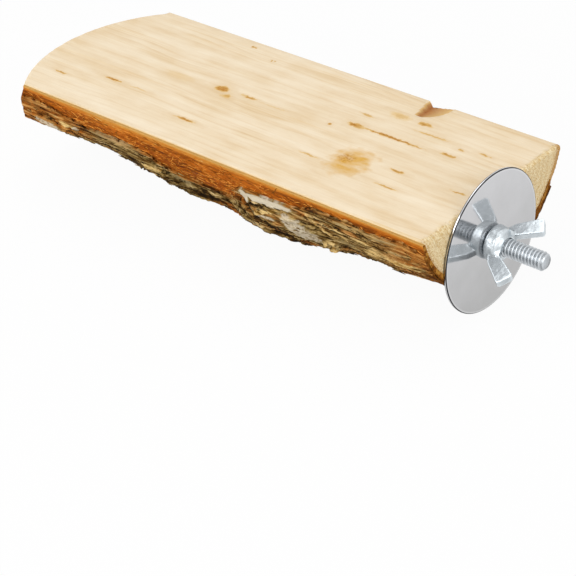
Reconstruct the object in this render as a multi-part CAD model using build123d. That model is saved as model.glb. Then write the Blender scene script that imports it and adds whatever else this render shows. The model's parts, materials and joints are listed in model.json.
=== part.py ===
from build123d import *
import math
import os

# Bird perch: a slab sawn off the side of a log, flat on top and barked below, with a
# hanger bolt in its sawn end that takes a broad washer and a wing nut.
# Frame: the origin is on the bolt's axis in the plane of the sawn end, +X runs along
# the bolt towards its free tip, +Z is up out of the perching face. Millimetres.

# Wooden slab
board_length = 196.0
board_width = 74.0
board_depth = 28.0
far_end_radius = 55.0
far_end_shift = -1.4

# Bark, measured square to the log
inner_bark_edge = 0.7
inner_bark_under = 2.8
outer_bark_lip = 0.8
outer_bark_back_gap = 14.0
outer_bark_front = 1.3
outer_bark_under = 2.2
outer_bark_back = 1.2
outer_bark_far = 2.6
bark_end_radius = 61.0
bark_end_shift = -3.7
bark_crest_angle = 43.0
bark_shoulder_angle = 58.0
far_shoulder = 1.5
far_shoulder_start = 150.0
far_shoulder_rise = 30.0
bark_station = 9.8
bark_strips = 9
ridge_height = 1.0
ridge_length = 9.0

# Torn top edge of the outer bark on the front: distance from the sawn end, and how far it lies
# below the board's top edge, counted along the skin
tear_line = [(0, 5.0), (40, 4.0), (76, 7.0), (90, 20.0), (118, 18.5), (130, 9.5), (160, 9.5), (172, 5.0)]

# Swelling over an old branch, on the front of the bark, counted from the sawn end
scar_start = 34.0
scar_rise = 23.0
scar_crown = 21.0
scar_tail = 82.0
scar_height = 5.5
scar_under = 2.0

# Place of the bolt in the sawn end
bolt_below_top = 16.6
bolt_off_centre = 2.4

# Hanger bolt, a quarter-inch thread outside and a wood thread inside
stud_diameter = 6.35
stud_length = 22.0
stud_chamfer = 0.9
shank_diameter = 5.3
shank_length = 5.0
wood_thread_length = 33.0
wood_thread_pitch = 2.6
wood_thread_core = 4.2
wood_thread_crest = 5.8
wood_point_length = 6.0

# Washer
washer_diameter = 50.0
washer_thickness = 1.0
washer_bore = 7.0
washer_edge = 0.2

# Wing nut, in the plane of its wings: height above its base, and distance from the axis
nut_bore_clearance = 0.05
nut_base_diameter = 13.0
nut_top_diameter = 11.2
nut_hub_height = 6.0
nut_hub_round = 0.8
wing_thickness = 2.7
wing_angle = 22.0
wing_height = 14.3
wing_span = 28.8
wing_tip_width = 5.8
wing_tip_slope = 32.0
wing_foot_low = 1.2
wing_bend_height = 4.0
wing_bend_reach = 8.6
wing_corner = 1.0

# Length that rough pieces have to spare before they are cut
trim_spare = 5.0

# Values that follow from the sizes above
top_z = bolt_below_top
mid_y = bolt_off_centre
half_width = board_width / 2
scar_end = scar_start + scar_rise + scar_crown + scar_tail
bark_reach = max(board_length, scar_end + scar_crown) + trim_spare
tall = board_depth + inner_bark_under + outer_bark_under + scar_height + trim_spare


def arc_radius(half_chord, depth):
    """Radius of the arc that hangs below a chord by the given depth."""
    return (half_chord**2 + depth**2) / (2 * depth)


def log_circle(edge, under):
    """The log's round outline, grown by edge at the face's sides and by under at its lowest."""
    radius = arc_radius(half_width + edge, board_depth + under)
    centre_z = top_z - board_depth - under + radius
    return radius, centre_z


def log_rod(edge, under, length):
    """A full round of the log along -X from the sawn end."""
    radius, centre_z = log_circle(edge, under)
    return extrude(Plane.YZ * Pos(mid_y, centre_z) * Circle(radius), amount=-length)


def slab_space(end_radius, end_shift):
    """All the room under the perching face, cut round in plan at the far end."""
    arc_x = end_radius - board_length
    arc_y = mid_y + end_shift
    straight = Pos(arc_x / 2, arc_y) * Rectangle(-arc_x, 2 * end_radius)
    rounded = Pos(arc_x, arc_y) * Circle(end_radius)
    return Pos(0, 0, top_z - tall) * extrude(straight + rounded, amount=tall)


def make_bolt():
    """Turned outline of the hanger bolt; the wood thread is drawn as rings at its pitch."""
    stud_r = stud_diameter / 2
    core_r = wood_thread_core / 2
    crest_r = wood_thread_crest / 2
    thread_start = -shank_length
    point_start = thread_start - wood_thread_length + wood_point_length
    outline = [
        (stud_length, 0),
        (stud_length, stud_r - stud_chamfer),
        (stud_length - stud_chamfer, stud_r),
        (0, stud_r),
        (0, shank_diameter / 2),
        (thread_start, shank_diameter / 2),
        (thread_start, core_r),
    ]
    rings = int((thread_start - point_start) / wood_thread_pitch)
    for ring in range(rings):
        x = thread_start - (ring + 0.5) * wood_thread_pitch
        outline.append((x + wood_thread_pitch / 3, core_r))
        outline.append((x, crest_r))
        outline.append((x - wood_thread_pitch / 3, core_r))
    outline.append((point_start, core_r))
    outline.append((point_start - wood_point_length, 0))
    face = make_face(Polyline(*outline, close=True))
    return revolve(face, axis=Axis.X)


def make_board(space, bolt):
    """Wood of the slab, with the bolt's own hole in its sawn end."""
    return (log_rod(0, 0, board_length) & space) - bolt


def make_inner_bark(space):
    """Fibrous layer between the wood and the outer bark, thin at the top edges."""
    rod = log_rod(inner_bark_edge, inner_bark_under, board_length)
    return (rod & space) - log_rod(0, 0, board_length)


def between(outline, value):
    """Value on a straight-sided outline of (place, value) points, held at its ends."""
    if value <= outline[0][0]:
        return outline[0][1]
    for (start, low), (end, high) in zip(outline, outline[1:]):
        if value <= end:
            return low + (high - low) * (value - start) / (end - start)
    return outline[-1][1]


def bark_section(distance, shoulder, front, under):
    """Cross-section at a distance from the sawn end of all that lies inside the outer bark's skin."""
    radius, centre_z = log_circle(inner_bark_edge, inner_bark_under)
    top_angle = math.degrees(math.acos((centre_z - top_z) / radius))
    first = math.degrees(between(tear_line, distance) / radius) - top_angle
    last = top_angle - math.degrees(outer_bark_back_gap / radius)
    thickness = [
        (first, outer_bark_lip),
        (-bark_shoulder_angle, shoulder),
        (-bark_crest_angle, front),
        (0, under),
        (bark_crest_angle, outer_bark_back),
        (last, outer_bark_lip),
    ]
    skin = []
    for strip in range(bark_strips + 1):
        angle = first + (last - first) * strip / bark_strips
        reach = radius + between(thickness, angle)
        if 0 < strip < bark_strips:
            reach += ridge_height * math.cos(distance / ridge_length + 5 * strip)
        turn = math.radians(angle)
        skin.append((mid_y + reach * math.sin(turn), centre_z - reach * math.cos(turn)))
    return Plane.YZ.offset(-distance) * make_face(Polyline(*skin, close=True))


def ease(value):
    """Smooth step from 0 to 1."""
    share = min(max(value, 0.0), 1.0)
    return share * share * (3 - 2 * share)


def swelling(distance):
    """Share of the scar's full height at a distance from the sawn end."""
    rise = ease((distance - scar_start) / scar_rise)
    fall = ease((scar_end - distance) / scar_tail)
    return rise * fall


def make_outer_bark(space):
    """Ridged outer layer with a torn edge, and the swelling that an old branch has left on its front."""
    sections = []
    count = math.ceil(bark_reach / bark_station)
    for station in range(count + 1):
        distance = station * bark_reach / count
        share = distance / bark_reach
        front = outer_bark_front + (outer_bark_far - outer_bark_front) * share
        bump = swelling(distance)
        front += scar_height * bump
        under = outer_bark_under + scar_under * bump
        shoulder = (outer_bark_lip + front) / 2
        shoulder += far_shoulder * ease((distance - far_shoulder_start) / far_shoulder_rise)
        sections.append(bark_section(distance, shoulder, front, under))
    under_bark = log_rod(inner_bark_edge, inner_bark_under, bark_reach)
    return (loft(sections, ruled=True) & space) - under_bark


def make_washer():
    """Broad flat washer that spreads the clamping load over the sawn end."""
    ring = Circle(washer_diameter / 2) - Circle(washer_bore / 2)
    disc = extrude(Plane.YZ * ring, amount=washer_thickness)
    rims = disc.edges().filter_by(GeomType.CIRCLE).sort_by(SortBy.RADIUS)[-2:]
    return chamfer(rims, washer_edge)


def make_wing():
    """One wing, standing in the XY plane of the nut with its base at x = 0."""
    slope = math.radians(wing_tip_slope)
    tip_out = (wing_height - wing_tip_width * math.sin(slope), wing_span / 2)
    tip_in = (wing_height, wing_span / 2 - wing_tip_width * math.cos(slope))
    root = (stud_diameter + nut_top_diameter) / 4
    outline = make_face(
        Polyline(
            (wing_foot_low, root),
            (wing_bend_height, wing_bend_reach),
            tip_out,
            tip_in,
            (nut_hub_height, root),
            close=True,
        )
    )
    corners = outline.vertices().sort_by_distance((wing_height, wing_span / 2))[:2]
    rounded = fillet(corners, wing_corner)
    return extrude(rounded, amount=wing_thickness / 2, both=True)


def make_nut():
    """Wing nut seated on the washer, its wings turned to the angle they stand at."""
    base_r = nut_base_diameter / 2
    top_r = nut_top_diameter / 2
    side = Polyline((0, 0), (0, base_r), (nut_hub_height, top_r), (nut_hub_height, 0), close=True)
    shoulder = make_face(side).vertices().sort_by_distance((nut_hub_height, top_r))[0]
    hub = revolve(fillet(shoulder, nut_hub_round), axis=Axis.X)
    wing = make_wing()
    nut = hub + wing + Rot(180, 0, 0) * wing
    bore_r = stud_diameter / 2 + nut_bore_clearance
    bore = extrude(Plane.YZ * Circle(bore_r), amount=wing_height)
    return Pos(washer_thickness, 0, 0) * Rot(wing_angle, 0, 0) * (nut - bore)


wood_space = slab_space(far_end_radius, far_end_shift)
bark_space = slab_space(bark_end_radius, bark_end_shift)
bolt = make_bolt()
parts = {
    "perch_board": make_board(wood_space, bolt),
    "inner_bark": make_inner_bark(bark_space),
    "outer_bark": make_outer_bark(bark_space),
    "hanger_bolt": bolt,
    "clamp_washer": make_washer(),
    "wing_nut": make_nut(),
}
os.makedirs("parts", exist_ok=True)
for name, shape in parts.items():
    export_step(shape, f"parts/{name}.step")
    print(name, round(shape.volume, 1), "mm3", shape.bounding_box().size)
print("stud left for a cage wall", stud_length - washer_thickness - nut_hub_height, "mm")
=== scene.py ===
# %% [markdown]
# # A half-log bird perch
# This lesson dresses a small perch for a bird cage. It is a slab cut off the side of a log: flat on
# top, with the bark left on below. A stud in its sawn end takes a broad washer and a wing nut, and the
# cage wall is clamped between the washer and the wood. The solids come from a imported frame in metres,
# so every piece is made where it belongs and nothing has to be fitted afterwards.

# %% Load the frame
import json
import math

import bmesh
import bpy
import numpy as np
from mathutils import Matrix, Vector, noise
from mathutils.bvhtree import BVHTree

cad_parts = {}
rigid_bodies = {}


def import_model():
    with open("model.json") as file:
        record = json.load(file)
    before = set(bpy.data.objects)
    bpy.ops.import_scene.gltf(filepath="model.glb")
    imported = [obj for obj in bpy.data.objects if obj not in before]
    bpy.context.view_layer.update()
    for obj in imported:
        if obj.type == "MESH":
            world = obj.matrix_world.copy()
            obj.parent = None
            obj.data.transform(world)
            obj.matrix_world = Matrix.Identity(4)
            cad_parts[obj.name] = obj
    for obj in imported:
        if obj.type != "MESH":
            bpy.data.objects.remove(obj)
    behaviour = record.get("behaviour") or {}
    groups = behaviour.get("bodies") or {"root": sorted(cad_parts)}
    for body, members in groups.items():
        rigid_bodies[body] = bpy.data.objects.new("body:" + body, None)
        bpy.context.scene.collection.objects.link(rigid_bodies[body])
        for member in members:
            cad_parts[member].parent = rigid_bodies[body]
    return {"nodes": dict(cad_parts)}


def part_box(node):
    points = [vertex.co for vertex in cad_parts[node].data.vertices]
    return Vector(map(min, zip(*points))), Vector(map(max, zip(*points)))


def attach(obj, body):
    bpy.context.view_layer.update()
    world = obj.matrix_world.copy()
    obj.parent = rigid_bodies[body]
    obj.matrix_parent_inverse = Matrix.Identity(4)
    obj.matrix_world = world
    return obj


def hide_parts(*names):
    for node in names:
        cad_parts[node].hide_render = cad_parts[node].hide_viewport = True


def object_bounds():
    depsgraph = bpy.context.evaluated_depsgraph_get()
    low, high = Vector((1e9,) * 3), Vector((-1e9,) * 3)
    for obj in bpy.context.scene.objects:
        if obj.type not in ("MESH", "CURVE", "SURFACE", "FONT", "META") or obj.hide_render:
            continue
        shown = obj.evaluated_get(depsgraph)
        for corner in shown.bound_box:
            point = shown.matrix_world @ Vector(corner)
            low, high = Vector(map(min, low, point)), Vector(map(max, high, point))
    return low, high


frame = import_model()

mm = 0.001
scene = bpy.context.scene
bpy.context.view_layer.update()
print("nodes in the frame", sorted(frame["nodes"]))

# %% [markdown]
# ## The log behind the slab
# The top face is a chord of a round log, so the wood below it is a segment of a circle. Everything on
# the bark is easiest to place by how far it lies below the front top edge, counted along the skin, and
# by how far it lies from the sawn end. The sizes are read off the solids, so they can't disagree.

# %% Measure the slab
wood_end_radius, wood_end_shift = 55.0, -1.4
bark_end_radius, bark_end_shift = 61.0, -3.7


def in_mm(box):
    """Lowest and highest corner of a box, in mm."""
    return [[part / mm for part in corner] for corner in box]


def log_circle(half_chord, depth):
    """Radius of the arc that hangs below the top face, and the height of its centre."""
    radius = (half_chord**2 + depth**2) / (2 * depth)
    return radius, top_z - depth + radius


(far_x, front_edge, wood_low), (_, back_edge, top_z) = in_mm(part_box("perch_board"))
(_, bast_front, bast_low), (_, bast_back, _) = in_mm(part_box("inner_bark"))
slab_length = -far_x
mid_y = (front_edge + back_edge) / 2
half_width = (back_edge - front_edge) / 2
wood_radius, wood_axis_z = log_circle(half_width, top_z - wood_low)
bast_radius, bast_axis_z = log_circle((bast_back - bast_front) / 2, top_z - bast_low)
edge_angle = math.acos((bast_axis_z - top_z) / bast_radius)
skin_width = 2 * edge_angle * bast_radius
print("log radius", round(wood_radius, 1), "mm, skin from edge to edge", round(skin_width, 1), "mm")

# %% [markdown]
# ## Camera
# The photograph was taken from above the sawn end's front corner with a long lens. A camera that was
# fitted to the board's edges and the washer's rim gives the eye, the three angles and the focal length
# in pixels. Blender wants a lens in millimetres, so the pixels are scaled to its 36 mm sensor.

# %% Place the camera
image_size = 576
focal_pixels = 1740.5
sensor_width = 36.0
eye = Vector((272.9, -388.6, 308.5)) * mm
azimuth, elevation, roll = (math.radians(angle) for angle in (43.08, 34.36, -4.02))


def add_object(name, data):
    """A new object at the origin, linked to the scene."""
    made = bpy.data.objects.new(name, data)
    scene.collection.objects.link(made)
    return made


back = Vector((
    math.sin(azimuth) * math.cos(elevation),
    -math.cos(azimuth) * math.cos(elevation),
    math.sin(elevation),
))
level_right = (-back).cross(Vector((0, 0, 1))).normalized()
level_up = level_right.cross(-back)
camera_right = level_right * math.cos(roll) + level_up * math.sin(roll)
camera_up = level_up * math.cos(roll) - level_right * math.sin(roll)

photo_lens = bpy.data.cameras.new("photo_lens")
photo_lens.sensor_width = sensor_width
photo_lens.lens = focal_pixels / image_size * sensor_width
scene.camera = add_object("photo_camera", photo_lens)
turn = Matrix((camera_right, camera_up, back)).transposed()
scene.camera.matrix_world = Matrix.Translation(eye) @ turn.to_4x4()
print("lens", round(photo_lens.lens, 1), "mm")

# %% [markdown]
# ## Node helpers
# Shader trees and geometry trees are both nodes joined by links. One helper adds a node and fills its
# inputs. A small class holds a number that a node gives, so that a sum is written as it would be by
# hand, and each step of it becomes a Math node.

# %% Numbers that nodes give
usual_noise = (0.3, 0.7)


class Value:
    """A socket of a node tree that can be reckoned with."""

    def __init__(self, tree, socket):
        self.tree = tree
        self.socket = socket

    def calc(self, operation, *others):
        """One Math node, in a shader tree or a geometry tree."""
        made = node(self.tree, "ShaderNodeMath", dict(enumerate((self, *others))), operation=operation)
        return Value(self.tree, made.outputs[0])

    def __add__(self, other):
        return self.calc("ADD", other)

    def __sub__(self, other):
        return self.calc("SUBTRACT", other)

    def __mul__(self, other):
        return self.calc("MULTIPLY", other)

    def __truediv__(self, other):
        return self.calc("DIVIDE", other)

    def __pow__(self, other):
        return self.calc("POWER", other)

    def __abs__(self):
        return self.calc("ABSOLUTE")

    def larger(self, other):
        """The larger of two numbers."""
        return self.calc("MAXIMUM", other)

    def remap(self, low, high, to_low=0.0, to_high=1.0):
        """The number taken from one range to another, held at the ends."""
        ranges = {"Value": self, "From Min": low, "From Max": high, "To Min": to_low, "To Max": to_high}
        return Value(self.tree, node(self.tree, "ShaderNodeMapRange", ranges, clamp=True).outputs[0])

    def spread(self, to_low=0.0, to_high=1.0):
        """Noise taken from its usual range to another one."""
        return self.remap(*usual_noise, to_low, to_high)


print("noise mostly lies between", *usual_noise)

# %% Nodes and groups of nodes
def fill_in(tree, socket, value):
    """Links an input to a socket or to a node's first output, or sets it to a plain value."""
    if isinstance(value, Value):
        value = value.socket
    elif isinstance(value, bpy.types.Node):
        value = value.outputs[0]
    if isinstance(value, bpy.types.NodeSocket):
        tree.links.new(value, socket)
    else:
        socket.default_value = value


def node(tree, kind, inputs=None, **settings):
    """Adds a node with these settings; its inputs are given by name or number."""
    made = tree.nodes.new(kind)
    for name, value in settings.items():
        setattr(made, name, value)
    for key, value in (inputs or {}).items():
        named = [each for each in made.inputs if each.name == key and each.enabled]
        fill_in(tree, named[0] if named else made.inputs[key], value)
    return made


def live_output(made):
    """The output that the node's settings leave on."""
    return next(each for each in made.outputs if each.enabled)


def split(tree, vector):
    """The three parts of a vector."""
    return [Value(tree, part) for part in node(tree, "ShaderNodeSeparateXYZ", {0: vector}).outputs]


def new_group(name, kind, inputs, outputs):
    """A tree with sockets that are named by kind; returns it and its inputs by name."""
    tree = bpy.data.node_groups.new(name, kind)
    for way, sockets in (("INPUT", inputs), ("OUTPUT", outputs)):
        for socket_kind, names in sockets.items():
            for label in names:
                tree.interface.new_socket(label, in_out=way, socket_type="NodeSocket" + socket_kind)
    given = node(tree, "NodeGroupInput").outputs
    return tree, {each.name: Value(tree, each) for each in given}


print("node helpers ready")

# %% [markdown]
# ## Studio
# The object stands on a white table in soft, even light. The table and the world look white to the
# camera and to mirrors, but they light the object only a little, so that the wood keeps its colour. One
# broad lamp from the front left models the bark, a second one on the right opens the sawn end, and a
# weak one from above evens out the perching face.

# %% White surroundings
ambient_level = 0.42


def seen_directly(tree):
    """1 for rays from the eye, from a mirror or through glass, and 0 for rays that carry light."""
    path = node(tree, "ShaderNodeLightPath").outputs
    seen = Value(tree, path["Is Camera Ray"]).larger(path["Is Glossy Ray"])
    return seen.larger(path["Is Transmission Ray"])


def white_light(tree, kind, strength):
    """A background or a surface that glows white."""
    return node(tree, kind, {"Color": (1, 1, 1, 1), "Strength": strength})


def mixed_shader(tree, share, first, second):
    """Two shaders mixed by a share."""
    return node(tree, "ShaderNodeMixShader", {0: share, 1: first, 2: second})


world = bpy.data.worlds.new("white_studio")
world.use_nodes = True
tree = world.node_tree
tree.nodes.clear()
fill = white_light(tree, "ShaderNodeBackground", ambient_level)
white = white_light(tree, "ShaderNodeBackground", 1.0)
node(tree, "ShaderNodeOutputWorld", {"Surface": mixed_shader(tree, seen_directly(tree), fill, white)})
scene.world = world
scene.view_settings.view_transform = "Standard"
print("light from all round", ambient_level)

# %% Table that keeps a faint shadow
table_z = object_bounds()[0].z
table_half = 4.0
table_glow = 0.95
table_white = 0.84

corners = [(-table_half, -table_half), (table_half, -table_half)]
corners += [(table_half, table_half), (-table_half, table_half)]
table_mesh = bpy.data.meshes.new("white_table")
table_mesh.from_pydata([(x, y, table_z) for x, y in corners], [], [(0, 1, 2, 3)])
table = add_object("white_table", table_mesh)

cover = bpy.data.materials.new("white_table")
cover.use_nodes = True
tree = cover.node_tree
tree.nodes.clear()
matt = node(tree, "ShaderNodeBsdfDiffuse", {"Color": (table_white, table_white, table_white, 1)})
glow = white_light(tree, "ShaderNodeEmission", 1.0)
paper = mixed_shader(tree, seen_directly(tree) * table_glow, matt, glow)
below = node(tree, "ShaderNodeNewGeometry").outputs["Backfacing"]
clear = node(tree, "ShaderNodeBsdfTransparent")
node(tree, "ShaderNodeOutputMaterial", {"Surface": mixed_shader(tree, below, paper, clear)})
table_mesh.materials.append(cover)
print("table at", round(table_z / mm, 1), "mm")

# %% Lamps
aim = Vector((-90, 0, 0)) * mm
# Each lamp: name, place in metres, width in metres, watts.
lamps = [
    ("front_lamp", Vector((-0.35, -0.95, 0.5)), 1.0, 9),
    ("end_lamp", Vector((0.95, -0.3, 0.55)), 0.9, 5),
    ("top_lamp", Vector((-0.25, 0.25, 1.1)), 1.0, 3),
]
for name, place, width, watts in lamps:
    light = bpy.data.lights.new(name, "AREA")
    light.size = width
    light.energy = watts
    lamp = add_object(name, light)
    lamp.location = place
    lamp.rotation_mode = "QUATERNION"
    lamp.rotation_quaternion = (aim - place).to_track_quat("-Z", "Y")
print("lamps", [each.name for each in bpy.data.lights])

# %% [markdown]
# ## Material helpers
# Wood and bark are patterns in space, so their nodes read Object coordinates, here turned into
# millimetres. Noise that is drawn out along the log makes fibres, and ramps turn it into colour. Colours
# are written as the eye sees them, from 0 to 255, and changed to the linear values that Blender mixes.

# %% Colours as the eye sees them
def seen_colour(red, green, blue):
    """A colour as it looks on a screen, as the linear colour that the shader needs."""
    parts = []
    for part in (red, green, blue):
        level = part / 255
        linear = level / 12.92 if level <= 0.04045 else ((level + 0.055) / 1.055) ** 2.4
        parts.append(linear)
    return (*parts, 1.0)


print("middle grey is", round(seen_colour(128, 128, 128)[0], 3))

# %% A finish and its steps
class Finish:
    """A new material with one shader, and the steps that the finishes here are mixed from."""

    def __init__(self, name):
        self.material = bpy.data.materials.new(name)
        self.material.use_nodes = True
        self.tree = self.material.node_tree
        self.shader = self.tree.nodes["Principled BSDF"]
        here = node(self.tree, "ShaderNodeTexCoord").outputs["Object"]
        self.place = self.vector("MULTIPLY", here, (1 / mm,) * 3)

    def vector(self, operation, first, second):
        """One step of arithmetic on vectors."""
        return node(self.tree, "ShaderNodeVectorMath", {0: first, 1: second}, operation=operation)

    def stirred(self, scale, detail, reach):
        """Places shifted about by noise, by up to half of reach either way."""
        settings = {"Vector": self.place, "Scale": scale, "Detail": detail}
        cloud = node(self.tree, "ShaderNodeTexNoise", settings).outputs[1]
        shift = self.vector("MULTIPLY", self.vector("ADD", cloud, (-0.5,) * 3), reach)
        return self.vector("ADD", self.place, shift)

    def grain(self, long, across, detail=3.0, offset=0.0):
        """Noise from 0 to 1 whose lumps are so long along the log and so wide across it, in mm."""
        share = (1 / long, 1 / across, 1 / across)
        settings = {"Vector": self.place, "Scale": share, "Location": (offset,) * 3}
        squeezed = node(self.tree, "ShaderNodeMapping", settings)
        settings = {"Vector": squeezed, "Scale": 1.0, "Detail": detail}
        return Value(self.tree, node(self.tree, "ShaderNodeTexNoise", settings).outputs[0])

    def attribute(self, name):
        """A number stored on the piece's own mesh."""
        made = node(self.tree, "ShaderNodeAttribute", attribute_name=name)
        return Value(self.tree, made.outputs["Fac"])

    def from_line(self, axis_y, axis_z):
        """Distance from a line that runs along the log."""
        _, y, z = split(self.tree, self.place)
        return ((y - axis_y) ** 2.0 + (z - axis_z) ** 2.0).calc("SQRT")

    def ramp(self, value, stops):
        """Colour by value, through (position, colour) stops."""
        made = node(self.tree, "ShaderNodeValToRGB", {0: value})
        strip = made.color_ramp.elements
        while len(strip) < len(stops):
            strip.new(0.5)
        for element, (position, colour) in zip(strip, stops):
            element.position = position
            element.color = colour
        return made

    def mix(self, share, first, second):
        """Two colours mixed by a share."""
        settings = {"Factor": share, "A": first, "B": second}
        return live_output(node(self.tree, "ShaderNodeMix", settings, data_type="RGBA"))

    def done(self, colour, rough, height, depth_mm, **constants):
        """Wires colour, roughness and fine relief; what is the same all over is set on the shader itself."""
        settings = {"Height": height, "Distance": depth_mm * mm, "Strength": 1.0}
        relief = node(self.tree, "ShaderNodeBump", settings)
        inputs = {"Base Color": colour, "Roughness": rough, "Normal": relief, **constants}
        for name, value in inputs.items():
            fill_in(self.tree, self.shader.inputs[name.replace("_", " ")], value)
        return self.material


print("material helpers ready")

# %% [markdown]
# ## Pine
# Sawn softwood shows its growth rings as lines where the saw has cut them. Rings are cylinders about the
# log's middle, so the colour here follows the distance from that axis, bent a little by noise. One
# pattern then gives straight lines near the edges, broad flames along the middle and arcs on the sawn
# end. Knots and resin flecks are separate soft marks, laid where the photograph has them.

# %% Marks on the top face
# Each mark: distance from the sawn end, distance from the middle line, half length, half width, darkness.
grain_marks = [
    (179.0, -22.0, 3.6, 0.42, 0.75), (158.5, -14.9, 5.2, 0.50, 0.85), (146.0, -14.8, 6.0, 0.28, 0.35),
    (116.0, -21.7, 5.4, 0.50, 0.85), (120.3, 2.6, 3.6, 1.30, 0.95), (115.4, -0.6, 2.4, 0.90, 0.55),
    (108.0, 3.2, 4.0, 0.50, 0.70), (96.0, 2.8, 8.0, 0.24, 0.30), (133.0, 33.6, 0.7, 0.45, 0.80),
    (119.6, 29.2, 0.7, 0.40, 0.80), (140.0, 0.8, 8.0, 1.50, 0.16), (72.0, 4.9, 0.8, 0.50, 0.80),
    (64.2, 9.2, 4.0, 0.95, 0.90), (48.6, 9.4, 15.5, 0.44, 0.88), (65.8, 17.0, 4.4, 0.34, 0.50),
    (45.2, 23.2, 3.6, 0.85, 0.80), (55.5, 22.9, 5.6, 1.30, 0.42), (38.2, 18.2, 9.0, 0.34, 0.50),
    (26.8, 10.9, 3.7, 0.50, 0.75), (25.0, 16.1, 2.0, 0.45, 0.55), (16.5, 17.8, 2.9, 0.42, 0.65),
    (33.4, -7.0, 3.5, 0.52, 0.75), (30.8, -16.8, 5.2, 0.34, 0.65), (9.5, -6.4, 4.2, 0.36, 0.60),
    (64.4, -15.4, 5.4, 0.32, 0.50),
]
soft_knot = (50.2, -10.7, 9.0, 6.0)
knot_heart = (52.9, -9.8, 3.4, 2.2)
mark_spread = 1.75


def mark_group():
    """An oval mark that fades from its middle to its edge, and a wider glow round it."""
    inputs = {"Float": ("X", "Y", "Half Length", "Half Width"), "Vector": ("Place",)}
    group, given = new_group("grain_mark", "ShaderNodeTree", inputs, {"Float": ("Mark", "Glow")})
    x, y, _ = split(group, given["Place"])
    along = (x - given["X"]) / given["Half Length"]
    across = (y - given["Y"]) / given["Half Width"]
    reach = along**2.0 + across**2.0
    node(group, "NodeGroupOutput", {"Mark": reach.remap(1.0, 0.1), "Glow": reach.remap(5.0, 0.5)})
    return group


mark_tree = mark_group()


def add_mark(finish, place, x, y, half_length, half_width):
    """One mark, given from the sawn end and the middle line; returns it and its glow."""
    settings = {
        "Place": place, "X": -x, "Y": mid_y + y,
        "Half Length": half_length, "Half Width": half_width * mark_spread,
    }
    made = node(finish.tree, "ShaderNodeGroup", settings, node_tree=mark_tree)
    return [Value(finish.tree, each) for each in made.outputs]


print(len(grain_marks), "marks on the top face")

# %% Colours of the pine
ring_spacing = 2.7
edge_width, seam_width = 1.2, 1.8
pale_wood = seen_colour(248, 232, 205)
plain_wood = seen_colour(241, 221, 189)
tan_wood = seen_colour(226, 196, 150)
halo_gold = seen_colour(228, 186, 98)
resin_brown = seen_colour(182, 118, 34)
knot_yellow = seen_colour(222, 172, 78)
end_pale = seen_colour(254, 238, 198)
end_dark = seen_colour(222, 188, 130)
cut_gold = seen_colour(186, 132, 56)
chip_gold = seen_colour(226, 186, 122)
chip_red_and_shade = seen_colour(178, 116, 64)
print("rings every", ring_spacing, "mm")

# %% Rings, streaks and marks of the pine
def growth_rings(wood, knot):
    """0 in early wood to 1 in late wood, round the log's own axis and a little round the knot."""
    bend = wood.grain(90.0, 22.0, 2.0) * 13.0
    radius = wood.from_line(mid_y, wood_axis_z) + bend + knot * 2.2
    phase = (radius / ring_spacing).calc("FRACT")
    return phase.remap(0.25, 0.86) ** 2.2 * phase.remap(1.0, 0.86)


def sanded_face(wood, rings, fibre):
    """Streaks of pale and tan wood, with a golden edge along the bark."""
    strong = wood.grain(70.0, 9.0, 2.0, 21.0).remap(0.4, 0.65, 0.0, 0.32)
    tone = rings * strong
    tone += wood.grain(95.0, 8.0, 3.0, 17.0).remap(0.34, 0.7, 0.0, 0.42)
    tone += wood.grain(60.0, 2.6, 4.0, 7.0).remap(0.35, 0.72, -0.05, 0.18)
    tone += wood.grain(15.0, 6.0, 4.0, 45.0).remap(0.35, 0.65, -0.06, 0.28)
    tone += fibre.remap(0.3, 0.75, -0.06, 0.14)
    colour = wood.ramp(tone, [(0.0, pale_wood), (0.4, plain_wood), (1.0, tan_wood)])
    hairline = wood.grain(120.0, 0.8, 2.0, 52.0).remap(0.58, 0.7)
    colour = wood.mix(hairline * strong, colour, halo_gold)
    by_bark = split(wood.tree, wood.place)[1].remap(front_edge + edge_width, front_edge, 0.0, 0.8)
    return wood.mix(by_bark, colour, halo_gold)


def marked_face(wood, colour, knot):
    """The soft knot with its flecked heart, and the marks with their glow."""
    wavering = wood.stirred(0.55, 3.0, (5.0, 1.9, 0.0))
    patchy = wood.grain(5.0, 2.4, 3.0, 33.0).remap(0.36, 0.6, 0.55, 1.0)
    colour = wood.mix(knot * patchy, colour, knot_yellow)
    heart, _ = add_mark(wood, wavering, *knot_heart)
    flecks = wood.grain(0.9, 0.6, 3.0, 37.0).remap(0.4, 0.62, 0.1, 0.7)
    colour = wood.mix(heart * flecks, colour, resin_brown)
    marks = glows = 0.0
    for *shape, darkness in grain_marks:
        mark, glow = add_mark(wood, wavering, *shape)
        marks = (mark * darkness).larger(marks)
        glows = (glow * darkness).larger(glows)
    colour = wood.mix(glows * 0.55, colour, tan_wood)
    colour = wood.mix(marks.remap(0.0, 0.6, 0.0, 0.85), colour, halo_gold)
    broken = wood.grain(1.9, 0.45, 4.0, 41.0).remap(0.36, 0.6, 0.45, 1.0)
    return wood.mix(marks.remap(0.3, 0.85) * broken, colour, resin_brown)


def sawn_end(wood, rings, speck):
    """Specked end grain with arcs of rings, golden where it meets the bark."""
    arcs = rings * 0.32 + speck.remap(0.33, 0.66)
    colour = wood.ramp(arcs, [(0.0, end_pale), (1.0, end_dark)])
    seam = wood.from_line(mid_y, wood_axis_z) + speck.spread(-0.7, 0.7)
    return wood.mix(seam.remap(wood_radius - seam_width, wood_radius, 0.0, 0.8), colour, cut_gold)


print("pine patterns ready")

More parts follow.
